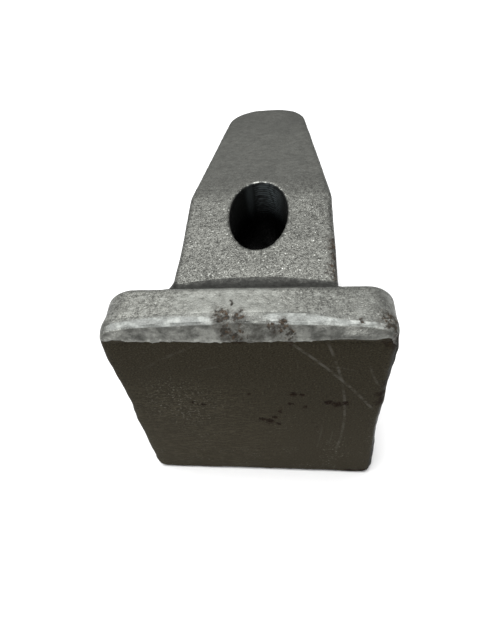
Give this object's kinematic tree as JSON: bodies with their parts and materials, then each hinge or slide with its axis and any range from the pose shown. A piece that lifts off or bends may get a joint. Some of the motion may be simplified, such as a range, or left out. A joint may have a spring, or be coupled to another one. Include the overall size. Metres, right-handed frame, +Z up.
{
  "type": "excavator bucket tooth nose",
  "caption": "Weld-on nose of an excavator bucket tooth: a square weld head, a tapered nose with an oval lock slot, and a rubber-backed detent for the lock pin.",
  "frame": {"origin": "centre of the head's flat weld face", "axes": "+X across the head, +Y from the weld face out along the nose to its tip, +Z up, square to the nose's far upper flat"},
  "size_m": [0.066, 0.1065, 0.0661],
  "materials": {
    "nose_steel": "shot-blasted forged steel, grey, speckled, with rust specks",
    "head_steel": "shot-blasted forged steel, worn bright on its upper ridge, dark brown-grey on its weld face",
    "weld_steel": "dark grey blasted weld metal",
    "plate_steel": "dark plain steel plate",
    "lock_rubber": "matt black moulded rubber with shallow ribs",
    "detent_steel": "dull machined steel"
  },
  "bodies": {
    "adapter": {"nose": "nose_steel", "head_block": "head_steel", "root_weld": "weld_steel", "lock_back_plate": "plate_steel", "lock_rubber": "lock_rubber"},
    "detent": {"lock_detent": "detent_steel"}
  },
  "joints": [
    {"name": "detent_press", "type": "slide", "parent": "adapter", "child": "detent", "axis": [0, -0.9848, -0.1736], "range_m": [0, 0.0025], "deforming": ["lock_rubber"]}
  ]
}
